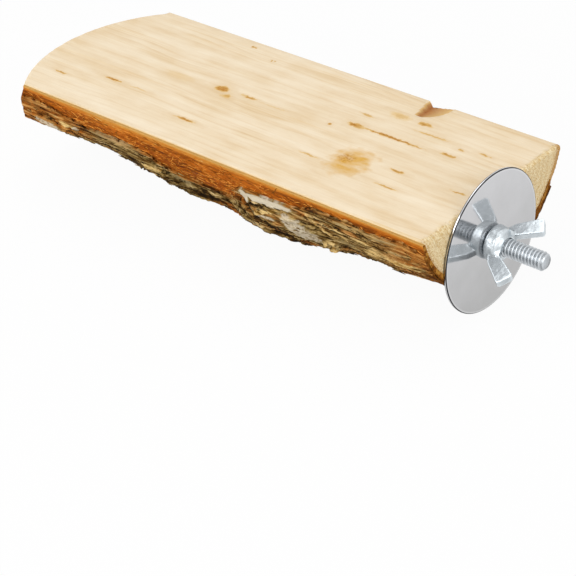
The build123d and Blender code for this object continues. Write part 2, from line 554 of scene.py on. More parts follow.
# %% Pine for the slab
def make_pine():
    """Sanded face, with end grain and the chipped edge where the mesh says so."""
    wood = Finish("sawn_pine")
    knot, _ = add_mark(wood, wood.stirred(0.24, 2.0, (11.0, 8.0, 0.0)), *soft_knot)
    rings = growth_rings(wood, knot)
    fibre = wood.grain(9.0, 0.22, 3.0, 3.0)
    speck = wood.grain(1.1, 0.5, 4.0, 11.0)
    end_grain = wood.attribute("end_grain")
    chip = wood.attribute("chip")
    colour = marked_face(wood, sanded_face(wood, rings, fibre), knot)
    colour = wood.mix(end_grain, colour, sawn_end(wood, rings, speck))
    # The chip is golden on its floor and turns reddish towards its steep wall: the broken knot's own wood,
    # with painted shade in the recess.
    chip_colour = wood.ramp(chip, [(0.4, chip_gold), (0.95, chip_red_and_shade)])
    colour = wood.mix(chip.remap(0.0, 0.3), colour, chip_colour)
    height = fibre * 0.5 + rings * -0.2 + end_grain * (speck * 4.0)
    return wood.done(colour, fibre.spread(0.52, 0.66), height, 0.12, Specular_IOR_Level=0.15)


pine = make_pine()
print("pine nodes", len(pine.node_tree.nodes))

# %% [markdown]
# ## Slab
# The slab's solid already has the right size, but its edges are razor sharp and its sawn end is flat.
# A welded copy is rebuilt on an even grid of small faces, which gives points to work with all over.
# Those points are then pushed about as a maker's tools and hands would: the sawn end is sanded round
# along its top, the saw leaves it uneven, and a knot has broken out of the back edge.

# %% Smooth steps and noise
def ease(low, high, value):
    """Smooth step from 0 at low to 1 at high; works on numbers and on arrays."""
    share = np.clip((value - low) / (high - low), 0.0, 1.0)
    return share * share * (3 - 2 * share)


def wander(points, size, layer=0.0, octaves=3):
    """Fractal noise between about -1 and 1 at each point; size is its lump in mm along x, y, z."""
    scaled = np.asarray(points) / np.asarray(size)
    values = [noise.fractal(Vector(each) + Vector((0, 0, layer)), 0.9, 2.0, octaves) for each in scaled]
    return np.array(values)


print("a smooth step is half way up at", ease(0.0, 1.0, 0.5))

# %% Pieces and their points
weld_mm = 0.001


def settle(piece):
    """Turns what the modifiers show into the piece's own plain mesh."""
    graph = bpy.context.evaluated_depsgraph_get()
    shown = piece.evaluated_get(graph)
    flat = bpy.data.meshes.new_from_object(shown, preserve_all_data_layers=True, depsgraph=graph)
    piece.modifiers.clear()
    piece.data = flat
    return piece


def even_copy(node_name, name, grid_mm):
    """A copy of a CAD node, welded and rebuilt with faces of about grid_mm."""
    mesh = frame["nodes"][node_name].data.copy()
    work = bmesh.new()
    work.from_mesh(mesh)
    bmesh.ops.remove_doubles(work, verts=work.verts, dist=weld_mm * mm)
    work.to_mesh(mesh)
    work.free()
    mesh.materials.clear()
    piece = add_object(name, mesh)
    remesh = piece.modifiers.new("even_faces", "REMESH")
    remesh.mode = "VOXEL"
    remesh.voxel_size = grid_mm * mm
    return settle(piece)


def read_vectors(mesh, kind):
    """One vector for each point of the mesh: its place, or its normal."""
    flat = np.empty(len(mesh.vertices) * 3)
    mesh.vertices.foreach_get(kind, flat)
    return flat.reshape(-1, 3)


def points_of(mesh):
    """The mesh's points as an array in mm."""
    return read_vectors(mesh, "co") / mm


def set_points(mesh, points):
    """Writes points in mm back to the mesh."""
    mesh.vertices.foreach_set("co", (np.asarray(points) * mm).ravel())
    mesh.update()


def set_attribute(mesh, name, values):
    """Stores one number for each point, for the material to read."""
    layer = mesh.attributes.new(name, "FLOAT", "POINT")
    layer.data.foreach_set("value", np.asarray(values, dtype=np.float32))


def shade_smooth(mesh, sharp_degrees=45.0):
    """Smooth shading, but for edges sharper than the given angle."""
    mesh.polygons.foreach_set("use_smooth", np.ones(len(mesh.polygons), dtype=bool))
    mesh.set_sharp_from_angle(angle=math.radians(sharp_degrees))


print("shaping helpers ready")

# %% Chip, bare back and rounded edge of the slab
# The chip in the back edge has a steep wall, given from the sawn end, and a far side that is given as
# (distance from the back, distance from the sawn end).
chip_wall, chip_lean = 53.5, 0.19
chip_side = [(0.0, 42.9), (5.5, 44.1), (8.2, 46.2), (10.1, 48.8)]
chip_reach = 10.1
chip_depth_back, chip_depth_front = 2.6, 0.9
chip_roughness = 0.2
wall_rim, wall_slope = 0.6, 0.7
bare_side, bare_blend = 12.0, 2.0
back_swell, back_skin = 1.7, 0.8
rounding_front, rounding_back = 3.0, 1.0


def chip_floor(points):
    """How deep the broken-out knot lies below the top at each point, and how near its wall, from 0 to 1."""
    from_end = -points[:, 0]
    from_back = np.clip(mid_y + half_width - points[:, 1], 0.0, None)
    wall = chip_wall - chip_lean * from_back
    side = np.interp(from_back, *zip(*chip_side))
    near_wall = np.clip((from_end - side) / (wall - side), 0.0, 1.0)
    inside = ease(wall + wall_slope, wall - wall_slope, from_end) * (from_back < chip_reach)
    full = chip_depth_back + (chip_depth_front - chip_depth_back) * from_back / chip_reach
    depth = inside * full * near_wall**0.8
    splinters = chip_roughness * wander(points, (1.2, 1.2, 1.2), 2.0)
    depth += np.where(depth > chip_roughness, splinters, 0.0)
    return np.maximum(depth, 0.0), inside * near_wall


def swell_back(points):
    """Brings the bare wood of the back side out to where the bark's skin would be."""
    out = np.hypot(points[:, 1] - mid_y, points[:, 2] - wood_axis_z) - wood_radius
    at_back = (points[:, 1] > mid_y) & (out > -back_skin)
    rise = ease(top_z - bare_side - bare_blend, top_z - bare_side + bare_blend, points[:, 2])
    points[:, 1] += np.where(at_back, back_swell * rise, 0.0)
    points[:, 1] = np.minimum(points[:, 1], bast_back)
    return points


def round_sawn_edge(points):
    """Sands the top edge of the sawn end round."""
    to_back = ease(mid_y, mid_y + half_width, points[:, 1])
    rounding = rounding_front + (rounding_back - rounding_front) * to_back
    past = points[:, 0] + rounding
    over = points[:, 2] - (top_z - rounding)
    corner = (past > 0) & (over > 0)
    distance = np.hypot(past, over)
    share = np.where(corner & (distance > rounding), rounding / np.maximum(distance, 1e-6), 1.0)
    points[:, 0] = np.where(corner, past * share - rounding, points[:, 0])
    points[:, 2] = np.where(corner, over * share + top_z - rounding, points[:, 2])
    return points


print("chip from", chip_side[0][1], "to", chip_wall, "mm from the sawn end")

# %% Rework the slab
slab_grid = 0.68
saw_roughness, saw_line = 0.35, 0.75
end_fray = 0.9
end_grain_from, end_grain_to = -2.5, -1.5
saw_from, saw_to = -1.4, -0.4
far_from, far_to = -0.9, -0.2
shallowest_chip = 0.12

board = even_copy("perch_board", "perch_board_wood", slab_grid)
points = points_of(board.data)
plain_top = points[:, 2].copy()
depth, near_wall = chip_floor(points)
points[:, 2] = np.minimum(points[:, 2], top_z - depth)
# The chip's share rises towards its wall, where its colour carries painted shade.
chipped = np.where(plain_top - points[:, 2] > shallowest_chip, 0.35 + 0.65 * near_wall, 0.0)
shifted = points + (wall_rim, 0.0, 0.0)
on_wall = (chip_floor(shifted)[1] > 0.8) & (points[:, 2] > top_z - chip_depth_back)
chipped = np.maximum(chipped, np.where(on_wall, 0.75, 0.0))
points = swell_back(points)
points = round_sawn_edge(points)
frayed = points[:, 0] + end_fray * wander(points, (1.0, 1.7, 1.0), 4.0)
at_end = ease(end_grain_from, end_grain_to, frayed)
slanted = points[:, 1] + 0.35 * points[:, 2]
saw_lines = np.sin(slanted / saw_line + 2.0 * wander(points, (6, 6, 6), 5.0))
sawn = 0.5 + 0.35 * wander(points, (1.6, 1.6, 1.6), 1.0) + 0.15 * saw_lines
points[:, 0] -= ease(saw_from, saw_to, points[:, 0]) * saw_roughness * np.clip(sawn, 0.0, 1.0)
set_points(board.data, points)

arc_middle = wood_end_radius - slab_length
from_arc = np.hypot(points[:, 0] - arc_middle, points[:, 1] - mid_y - wood_end_shift)
far_out = from_arc - wood_end_radius
at_far = np.where(points[:, 0] < arc_middle, ease(far_from, far_to, far_out), 0.0)
below_top = ease(0.4, 2.6, top_z - points[:, 2] + 0.8 * wander(points, (0.8, 1.6, 0.8), 4.0))
set_attribute(board.data, "end_grain", np.maximum(at_end, at_far * below_top))
set_attribute(board.data, "chip", chipped)
board.data.materials.append(pine)
shade_smooth(board.data)
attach(board, "perch")
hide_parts("perch_board")
print("slab faces", len(board.data.polygons))

# %% [markdown]
# ## Skin of the log
# Both layers of bark are shells that wrap the slab from its front top edge, under it, to its back top
# edge. A grid of points makes each one: one way along the log, the other way round it. The far end is
# cut round in plan, so each line of the grid runs as far as that cut lets it, and no trimming is needed.

# %% Places on the skin
def arc_reach(y, radius, shift):
    """Length from the sawn end to a far end that is cut round in plan, at a place across the slab."""
    return slab_length - radius + np.sqrt(radius**2 - (y - mid_y - shift) ** 2)


def reach(y, drop):
    """Length of the bark: as long as the wood at the top edges, and a little longer below them."""
    wood = arc_reach(y, wood_end_radius, wood_end_shift)
    bark = arc_reach(y, bark_end_radius, bark_end_shift)
    return wood + (bark - wood) * ease(0.0, 8.0, np.minimum(drop, skin_width - drop))


def on_log(along, drop, lift):
    """Points on the bark, in mm: along is the share of the length from the sawn end, drop is counted
    along the skin from the front top edge, and lift is the height above the inner bark."""
    angle = drop / bast_radius - edge_angle
    distance = bast_radius + lift
    y = np.clip(mid_y + distance * np.sin(angle), bast_front, bast_back)
    z = bast_axis_z - distance * np.cos(angle)
    return np.stack([-along * reach(y, drop), y, z], axis=-1)


def grid_noise(along_mm, round_mm, long, across, layer, octaves=4):
    """Fractal noise on the skin whose lumps are so long along the log and so wide round it."""
    flat = [along_mm.ravel() / long, round_mm.ravel() / across, np.zeros(along_mm.size)]
    return wander(np.stack(flat, axis=1), (1, 1, 1), layer, octaves).reshape(along_mm.shape)


def line_noise(from_end, long, layer):
    """Fractal noise along the log."""
    return grid_noise(from_end, from_end * 0, long, 1, layer, 3)


print("bark is", round(float(reach(mid_y, skin_width / 2)), 1), "mm long at the bottom")

# %% Closed shells
def closed_mesh(name, points, faces):
    """A mesh of points in metres and faces that are turned outwards."""
    mesh = bpy.data.meshes.new(name)
    mesh.from_pydata(points, [], faces)
    work = bmesh.new()
    work.from_mesh(mesh)
    bmesh.ops.recalc_face_normals(work, faces=work.faces)
    work.to_mesh(mesh)
    work.free()
    return mesh


def shell_mesh(name, outer, inner):
    """Closed mesh between two grids of points, counted [along the log, round it]; its ends take slot 1."""
    count = outer[..., 0].size
    points = np.concatenate([outer.reshape(-1, 3), inner.reshape(-1, 3)])
    top = np.arange(count).reshape(outer.shape[:2])
    low = top + count
    strips = [
        (top[:-1, :-1], top[:-1, 1:], top[1:, 1:], top[1:, :-1]),
        (low[:-1, :-1], low[1:, :-1], low[1:, 1:], low[:-1, 1:]),
        (top[:-1, 0], top[1:, 0], low[1:, 0], low[:-1, 0]),
        (top[1:, -1], top[:-1, -1], low[:-1, -1], low[1:, -1]),
    ]
    ends = [
        (top[0, 1:], top[0, :-1], low[0, :-1], low[0, 1:]),
        (top[-1, :-1], top[-1, 1:], low[-1, 1:], low[-1, :-1]),
    ]
    faces = [np.stack([side.ravel() for side in strip], axis=1) for strip in strips + ends]
    mesh = closed_mesh(name, (points * mm).tolist(), np.concatenate(faces).tolist())
    slots = np.zeros(len(mesh.polygons), dtype=np.int32)
    slots[-2 * (outer.shape[1] - 1):] = 1
    mesh.polygons.foreach_set("material_index", slots)
    return mesh


def bark_piece(name, outer, inner, finish, sharp_degrees, shares, sliver):
    """A shell of bark; shares are read by its finish, and sliver says where its outside sheds some."""
    mesh = shell_mesh(name, outer, inner)
    for label, values in shares.items():
        set_attribute(mesh, label, np.tile(values.ravel(), 2))
    set_attribute(mesh, "sliver", np.concatenate([sliver.ravel(), np.zeros(sliver.size)]))
    for material in (finish, bark_cut):
        mesh.materials.append(material)
    shade_smooth(mesh, sharp_degrees)
    return add_object(name, mesh)


print("shell helpers ready")

# %% [markdown]
# ## Inner bark
# Under the outer bark lies a fibrous layer, bright orange where the saw has just opened it at the top
# edge and redder further down. It is one shell with fine ridges along the log. Its material reads how
# far a point lies below the edge, which the mesh stores, and mixes in fibres of noise.

# %% Inner bark material
bast_edge = seen_colour(214, 166, 94)
bast_gold = seen_colour(204, 140, 58)
bast_bright = seen_colour(194, 115, 35)
bast_plain = seen_colour(184, 98, 22)
bast_red = seen_colour(150, 74, 12)
bast_dark = seen_colour(80, 36, 5)
bast_brown = seen_colour(112, 68, 20)
cut_brown = seen_colour(140, 84, 26)
bark_gloss = 0.05
ageing_depth = 20.0
cut_inside, cut_outside = 0.4, 4.6


def make_bast():
    """Orange at the sawn edge, red-brown below, in fibres along the log."""
    skin = Finish("inner_bark")
    fibre = skin.grain(7.0, 0.35, 4.0)
    strand = skin.grain(16.0, 1.3, 4.0, 5.0)
    speck = skin.grain(1.7, 0.7, 4.0, 19.0)
    depth = skin.attribute("drop")
    x, _, _ = split(skin.tree, skin.place)
    near_saw = x.remap(-75.0, -45.0, 1.0, 1.8)
    near_far_end = x.remap(-145.0, -172.0, 1.0, 1.7)
    ageing = depth * near_saw.larger(near_far_end)
    blotchy = skin.grain(14.0, 6.0, 2.0, 9.0).spread(-2.5, 2.5) * depth.remap(1.0, 5.0)
    frayed = fibre.spread(-0.9, 0.9) + strand.spread(-1.2, 1.2)
    frayed = (frayed + speck.spread(-1.3, 1.3)) * depth.remap(0.3, 2.5)
    colour = skin.ramp((ageing + blotchy + frayed) / ageing_depth, [
        (0.0, bast_edge), (0.03, bast_gold), (0.09, bast_bright), (0.2, bast_plain), (0.5, bast_red),
    ])
    dark = (strand.remap(0.5, 0.66) + speck.remap(0.54, 0.68, 0.0, 0.4)).remap(0.0, 1.0)
    dark = dark * ageing.remap(0.8, 5.0, 0.1, 1.0)
    colour = skin.mix(dark * 0.8, colour, bast_dark)
    colour = skin.mix(fibre.remap(0.52, 0.72, 0.0, 0.5), colour, bast_bright)
    by_saw = x.remap(-16.0, -3.0, 0.0, 0.6) * depth.remap(1.0, 4.0)
    colour = skin.mix(by_saw, colour, bast_brown)
    rough = fibre.spread(0.85, 0.6)
    return skin.done(colour, rough, fibre + dark * -0.8, 0.45, Specular_IOR_Level=bark_gloss)


def make_bark_cut():
    """Sawn section of the bark at the two ends."""
    cut = Finish("bark_cut")
    speck = cut.grain(1.5, 0.7, 4.0)
    from_log_axis = cut.from_line(mid_y, wood_axis_z)
    outward = from_log_axis.remap(wood_radius - cut_inside, wood_radius + cut_outside)
    layer = outward + cut.grain(6.0, 2.2, 3.0, 4.0).spread(-0.3, 0.3)
    colour = cut.ramp(layer, [(0.03, cut_gold), (0.22, cut_brown), (0.45, bast_brown), (0.75, bast_dark)])
    colour = cut.mix(speck.remap(0.55, 0.7), colour, bast_dark)
    return cut.done(colour, 0.85, speck, 0.5, Specular_IOR_Level=bark_gloss)


bast = make_bast()
bark_cut = make_bark_cut()
print("bast nodes", len(bast.node_tree.nodes))

# %% Inner bark mesh
bast_columns = 270
band_height, band_step, hidden_step = 26.0, 0.65, 2.6
fibre_relief, lump_relief, bast_sink = 0.28, 0.3, 0.15
bare_back = skin_width - 12.0
rim_lap, rim_sink, seam_lap = 0.35, 0.05, 0.4


def bast_rows():
    """Places round the skin: close together in the bands that show, wide apart under the bark."""
    front = np.arange(0.0, band_height, band_step)
    under = np.arange(band_height, skin_width - band_height, hidden_step)
    behind = np.arange(skin_width - band_height, bare_back, band_step)
    return np.concatenate([front, under, behind])


rows = bast_rows()
along, drop = np.meshgrid(np.linspace(0.0, 1.0, bast_columns), rows, indexing="ij")
from_end = along * slab_length
torn = 1.6 * line_noise(from_end[:, 0], 9.0, 80.0) + 0.5 * line_noise(from_end[:, 0], 2.0, 83.0)
drop = drop + torn[:, None] * ease(skin_width - band_height, bare_back, drop)
from_edge = np.minimum(drop, skin_width - drop)
fine = grid_noise(from_end, drop, 6.0, 0.9, 0.0)
lumps = grid_noise(from_end, drop, 18.0, 5.0, 7.0)
lift = ease(0.3, 3.0, from_edge) * (fibre_relief * fine + lump_relief * lumps - bast_sink)
angle = drop / bast_radius - edge_angle
wood_angle = angle / edge_angle * math.asin(half_width / wood_radius)
inner_radius = wood_radius - np.where(rows > 0.0, seam_lap, 0.0)
inner_y = mid_y + inner_radius * np.sin(wood_angle)
inner_z = wood_axis_z - inner_radius * np.cos(wood_angle)
inner = np.stack([-along * reach(inner_y, drop), inner_y, inner_z], axis=-1)
inner[:, 0] += (0.0, rim_lap, -rim_sink)
thinning = ease(bare_back + 2.5, bare_back - 4.0, drop)
outer = inner + (on_log(along, drop, lift) - inner) * (0.25 + 0.75 * thinning)[..., None]
for grid in (outer, inner):
    depth, _ = chip_floor(grid.reshape(-1, 3))
    grid[..., 2] = np.minimum(grid[..., 2], top_z - depth.reshape(drop.shape))

hairy = ease(0.9, 3.4, from_edge) * ease(30.0, 24.0, from_edge)
hairy = hairy * ease(0.0, 0.02, along) * ease(0.99, 0.95, along)
inner_bark = bark_piece("inner_bark_skin", outer, inner, bast, 60.0, {"drop": from_edge}, hairy)
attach(inner_bark, "perch")
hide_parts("inner_bark")
print("inner bark faces", len(inner_bark.data.polygons))

# %% [markdown]
# ## Outer bark
# The rough grey bark starts some way below the top edge, along a torn, wandering line, and swells over an
# old branch. Its thickness is measured on the CAD solid by shooting rays at it from outside. On top of
# that come ridges drawn out along the log, plates with steep sides, and the ring of the branch scar.

# %% Where the outer bark starts, and how thick it is
# Distance from the sawn end, and height of the bare band below the front edge.
front_tear = [
    (0, 4.6), (10, 2.6), (18, 3.7), (24, 4.4), (31, 3.1), (42, 2.8), (49, 3.8), (55, 6.2), (62, 7.3),
    (70, 7.8), (77, 7.8), (82, 7.6), (85, 9.5), (88, 17.5), (93, 21.5), (104, 19.5), (114, 20.0),
    (121, 18.0), (128, 12.0), (138, 8.6), (151, 10.0), (162, 9.4), (170, 7.0), (180, 5.0), (196, 4.5),
]
back_tear, back_sway = 14.0, 3.0
least_front, least_back = 1.5, 12.8
columns, around = 320, 140
crowding = 1.5
far_cut = 20.0
solid_smoothing = 3
ray_start = 0.1

bark_solid = frame["nodes"]["outer_bark"].data
bark_solid.calc_loop_triangles()
bark_tree = BVHTree.FromPolygons(
    [each.co.copy() for each in bark_solid.vertices],
    [tuple(each.vertices) for each in bark_solid.loop_triangles],
)


def solid_lift(x, drop):
    """Height of the CAD bark above the inner bark, or 0 where it has none."""
    angle = drop / bast_radius - edge_angle
    outward = Vector((0, math.sin(angle), -math.cos(angle)))
    axis = Vector((x, mid_y, bast_axis_z)) * mm
    hit = bark_tree.ray_cast(axis + outward * ray_start, -outward)[0]
    if hit is None:
        return 0.0
    return max((hit - axis).length / mm - bast_radius, 0.0)


def ragged(from_end, layer):
    """Torn outline along the log, in mm either way."""
    return 1.1 * line_noise(from_end, 7.0, layer) + 0.6 * line_noise(from_end, 1.7, layer + 4.0)


along = np.linspace(0.0, 1.0, columns)
from_end = along * slab_length
front_line = np.interp(from_end, *zip(*front_tear))
back_line = back_tear + back_sway * line_noise(from_end, 23.0, 3.0)
smooth_strip = ease(50.0, 58.0, from_end) * ease(92.0, 88.0, from_end)
front_line = np.clip(front_line + ragged(from_end, 0.5) * (1 - 0.85 * smooth_strip), least_front, None)
back_line = np.clip(back_line + ragged(from_end, 9.5), least_back, None)
share = np.linspace(0.0, 1.0, around) ** crowding
drop = front_line[:, None] + (skin_width - back_line - front_line)[:, None] * share[None, :]
along = np.repeat(along[:, None], around, axis=1)
from_end = along * slab_length
measured = np.minimum(from_end, slab_length - far_cut)
solid = np.array([solid_lift(-x, each) for x, each in zip(measured.ravel(), drop.ravel())])
solid = solid.reshape(drop.shape)
for _ in range(solid_smoothing):
    inside = solid[1:-1, 1:-1]
    beside = solid[2:, 1:-1] + solid[:-2, 1:-1] + solid[1:-1, 2:] + solid[1:-1, :-2]
    solid[1:-1, 1:-1] = (inside + beside / 4) / 2
print("bark solid is up to", round(solid.max(), 1), "mm thick")

# %% Marks on the outer bark
# Each mark: distance from the sawn end, distance below the front edge, half length, half height, and
# how much lower it lies for each mm further from the sawn end.
bark_marks = {
    "lens": [(70.0, 9.0, 13.5, 1.4, 0.07), (80.6, 10.8, 2.0, 3.2, -0.3)],
    "pale": [
        (71.0, 14.8, 5.5, 0.6, 0.13), (55.6, 15.4, 8.6, 4.2, -0.5), (183.0, 13.4, 8.0, 1.1, -0.17),
        (167.5, 12.7, 2.2, 1.0, 0.0),
    ],
    "beige": [
        (37.0, 17.9, 4.0, 1.8, -0.3), (34.0, 4.9, 5.0, 1.0, 0.0), (17.0, 4.8, 6.0, 0.7, 0.16),
        (12.5, 9.2, 4.5, 0.6, 0.14), (147.0, 9.8, 12.0, 1.4, 0.05), (116.0, 22.0, 6.0, 1.2, -0.4),
    ],
    "gold": [
        (72.5, 13.4, 8.0, 0.8, 0.42), (49.2, 8.7, 2.4, 1.0, -1.1), (46.0, 11.5, 2.6, 0.7, -0.9),
        (43.6, 10.1, 2.4, 0.7, -0.6), (39.5, 9.0, 3.2, 0.9, -0.5), (42.4, 14.6, 2.6, 0.8, -0.8),
        (38.5, 12.2, 3.0, 0.8, -0.5), (44.9, 21.7, 3.2, 3.0, 0.0), (22.0, 14.9, 7.0, 1.2, 0.15),
        (172.0, 11.6, 4.0, 1.2, -0.2), (130.0, 18.0, 8.0, 1.0, 0.0), (60.0, 11.6, 3.6, 1.0, 0.2),
        (10.0, 13.6, 8.0, 1.4, 0.1), (29.0, 11.0, 6.0, 1.0, 0.1), (24.0, 18.0, 6.0, 1.2, 0.1),
    ],
    # Black marks are dark crevices, partly painted shadow under the bark's plates.
    "black": [
        (75.0, 12.4, 5.2, 0.8, 0.43), (67.0, 20.3, 11.0, 1.8, -0.25), (48.0, 4.0, 3.2, 1.1, 0.0),
        (46.1, 13.5, 2.6, 0.6, -0.75), (41.5, 11.9, 2.4, 0.5, -0.7), (45.4, 8.6, 2.2, 0.5, -0.7),
        (41.0, 28.0, 5.0, 2.2, 0.0), (14.0, 17.8, 10.0, 1.6, 0.0), (180.5, 11.8, 5.5, 0.8, -0.28),
        (162.0, 10.9, 2.4, 0.9, 0.0), (165.0, 18.8, 6.0, 0.7, 0.15), (148.0, 15.6, 5.0, 0.8, 0.0),
        (124.5, 17.5, 4.5, 0.9, -0.6), (138.0, 23.5, 8.0, 1.2, 0.0), (107.0, 25.4, 6.0, 1.2, 0.0),
        (19.0, 7.0, 6.0, 0.6, 0.1), (30.0, 12.4, 5.0, 0.5, -0.2), (75.0, 17.1, 12.0, 1.1, -0.15),
        (66.0, 12.4, 5.5, 0.6, -0.13),
    ],
    "rust": [
        (53.3, 7.2, 4.0, 1.2, 0.0), (32.8, 8.4, 4.6, 1.3, -0.1), (91.0, 26.0, 8.0, 2.0, 0.0),
        (55.0, 24.0, 6.0, 1.6, -0.4), (85.6, 15.0, 3.4, 4.2, 0.0), (110.0, 21.0, 6.0, 1.0, 0.0),
    ],
}
print("marks on the bark", {kind: len(marks) for kind, marks in bark_marks.items()})

# %% Layers of colour on the outer bark
waver = grid_noise(from_end, drop, 3.2, 1.4, 40.0)


def marked(kind):
    """1 inside any mark of a kind and 0 outside, with a wavering outline."""
    total = np.zeros_like(drop)
    for x, y, half_length, half_height, fall in bark_marks[kind]:
        past = from_end - x
        distance = np.hypot(past / half_length, (drop - y - fall * past) / half_height)
        total = np.maximum(total, ease(1.15, 0.8, distance + 0.22 * waver))
    return total


def most(*layers):
    """The strongest of several layers at each point."""
    return np.maximum.reduce(layers)


lens = marked("lens")
pale = most(0.8 * marked("pale"), lens, 0.55 * marked("beige"))
golden_reach = ease(44.0, 34.0, from_end) * ease(6.0, 20.0, from_end)
gold = most(marked("gold"), 0.35 * golden_reach * ease(-0.3, 0.3, waver))
# Painted shade: the band on the log's underside gets ragged black, as if turned away from the light.
hidden_side = ease(19.0, 22.5, drop) * ease(36.0, 29.0, drop)
underside_shade = hidden_side * ease(-0.3, 0.2, grid_noise(from_end, drop, 16.0, 3.0, 52.0))
# Darker bark close to the sawn end, below the top edge.
dark_by_saw_end = ease(13.0, 2.0, from_end) * ease(7.0, 14.0, drop)
black = most(marked("black"), 0.9 * underside_shade, 0.75 * dark_by_saw_end)
rim = np.minimum(drop - front_line[:, None], (skin_width - back_line)[:, None] - drop)
rusty_far_end = ease(154.0, 168.0, from_end) * ease(22.0, 18.0, drop)
rusty_saw_end = ease(30.0, 8.0, from_end) * ease(-0.6, 0.2, waver + 0.4)
rusty_rim = ease(2.0, 0.2, rim) * (0.2 + 0.5 * ease(34.0, 50.0, from_end))
rust = most(marked("rust"), 0.85 * rusty_far_end, 0.85 * rusty_saw_end, rusty_rim)
rust = np.clip(rust * (0.75 + 0.5 * waver) * (1 - lens), 0.0, 1.0)
print("share of rust", round(rust.mean(), 2), "and of black", round(black.mean(), 2))

# %% Relief of the outer bark
tear_lip = 0.9
ridge_height, plate_height, line_height = 0.4, 0.7, 0.35
crack_depth = 1.2
plate_steps, plate_edge = 3.0, 0.62
ridge_shade, plate_shade, line_shade = 0.5, 0.55, 0.45
scar_along, scar_drop, scar_ring, scar_wall = 44.9, 21.7, 2.3, 0.8
least_lift, rind_sink = 0.15, 0.35


def plates(value):
    """Turns smooth noise into flat steps with steep sides."""
    scaled = value * plate_steps
    step = np.floor(scaled)
    return (step + ease(plate_edge, 1.0, scaled - step)) / plate_steps


flow = drop + 0.05 * from_end + 1.3 * grid_noise(from_end, drop, 36.0, 14.0, 70.0)
ridges = 1 - 2 * np.abs(grid_noise(from_end, flow, 30.0, 2.6, 2.0))
steps = plates(grid_noise(from_end, flow, 26.0, 6.0, 12.0))
lines = grid_noise(from_end, flow, 15.0, 0.9, 21.0)
cracks = ease(0.12, 0.0, np.abs(grid_noise(from_end, flow, 42.0, 3.4, 31.0)))
cracks = most(cracks * (1 - pale), 0.6 * black)
scar_far = np.hypot(from_end - scar_along, drop - scar_drop)
scar_edge = np.exp(-(((scar_far - scar_ring) / scar_wall) ** 2))
scar_hollow = np.exp(-((scar_far / (scar_ring * 0.6)) ** 2))

relief = (ridge_shade * ridges + plate_shade * steps + line_shade * lines) * (1 - lens)
relief = relief - 1.1 * cracks - 1.4 * scar_hollow + 0.5 * scar_edge
grown = ease(0.0, 4.5, rim)
body = tear_lip + grown * np.maximum(solid - tear_lip, 0.0)
rough = ridge_height * ridges + plate_height * steps + line_height * lines - 0.6
rough = rough * (1 - 0.8 * lens) + 0.3 * pale + 0.4 * gold - crack_depth * cracks
rough = rough * (1 - 0.7 * ease(0.93, 1.0, along)) + 1.0 * scar_edge - 1.2 * scar_hollow
lift = body + rough * (0.35 + 0.65 * grown) * np.clip(body / 2.0, 0.45, 1.0)
lift = np.maximum(lift, least_lift)
outer = on_log(along, drop, lift)
inner = on_log(along, drop, np.full_like(drop, -rind_sink))
print("bark skin from", round(lift.min(), 2), "to", round(lift.max(), 2), "mm")

# %% Outer bark material
rind_black = seen_colour(28, 18, 5)
rind_brown = seen_colour(86, 58, 22)
rind_olive = seen_colour(124, 99, 52)
rind_grey = seen_colour(168, 140, 88)
rind_pale = seen_colour(214, 186, 136)
rust_dark = seen_colour(92, 46, 10)
rust_plain = seen_colour(166, 94, 28)
rust_light = seen_colour(206, 142, 66)
gold_dark = seen_colour(104, 74, 24)
gold_plain = seen_colour(178, 138, 74)
gold_light = seen_colour(226, 194, 130)
lichen_beige = seen_colour(172, 148, 94)
lichen_dull = seen_colour(160, 144, 116)
lichen_grey = seen_colour(206, 194, 170)


def make_rind():
    """Dark cracks, brown ridges with pale crests, and the rusty, golden, pale and black marks; the black
    holds painted shadow under plates and painted shade on the log's underside.
    """
    rind = Finish("outer_bark")
    fibre = rind.grain(10.0, 0.95, 6.0)
    speck = rind.grain(1.4, 0.6, 4.0, 14.0)
    stretched = fibre.spread()
    pale, gold, black, rust = (rind.attribute(name) for name in ("pale", "gold", "black", "rust"))
    level = rind.attribute("relief").remap(-1.0, 1.0, 0.1, 0.76) + fibre.spread(-0.5, 0.5)
    colour = rind.ramp(level, [
        (0.0, rind_black), (0.28, rind_brown), (0.5, rind_olive), (0.74, rind_grey), (1.0, rind_pale),
    ])
    rust_colour = rind.ramp(stretched, [(0.1, rust_dark), (0.5, rust_plain), (0.95, rust_light)])
    gold_colour = rind.ramp(stretched, [(0.1, gold_dark), (0.36, gold_plain), (0.66, gold_light)])
    clean = speck.remap(0.3, 0.6).larger(pale.remap(0.84, 0.96))
    pale_colour = rind.ramp(clean, [(0.0, rind_olive), (0.25, lichen_dull), (0.8, lichen_grey)])
    pale_colour = rind.mix(pale.remap(0.75, 0.5), pale_colour, lichen_beige)
    warm = rind.grain(22.0, 7.0, 3.0, 6.0).remap(0.52, 0.62) * level.remap(0.1, 0.45)
    layers = [(warm * 0.45, rust_colour), (rust, rust_colour), (gold, gold_colour), (pale, pale_colour)]
    for amount, layer in layers:
        colour = rind.mix(amount, colour, layer)
    slit = rind.grain(12.0, 1.3, 3.0, 27.0).remap(0.4, 0.33)
    slit = slit * pale.remap(0.9, 0.3, 0.0, 0.85) * rust.remap(0.3, 0.9, 1.0, 0.35)
    # Black layer: dark crevices with painted shadow and painted shade, broken up by specks.
    ragged_black = (black * speck.remap(0.65, 0.4)).larger(slit)
    colour = rind.mix(ragged_black, colour, rind_black)
    rough = fibre.spread(0.92, 0.72)
    return rind.done(colour, rough, fibre + speck * 0.5, 0.8, Specular_IOR_Level=bark_gloss)


rind = make_rind()
print("rind nodes", len(rind.node_tree.nodes))

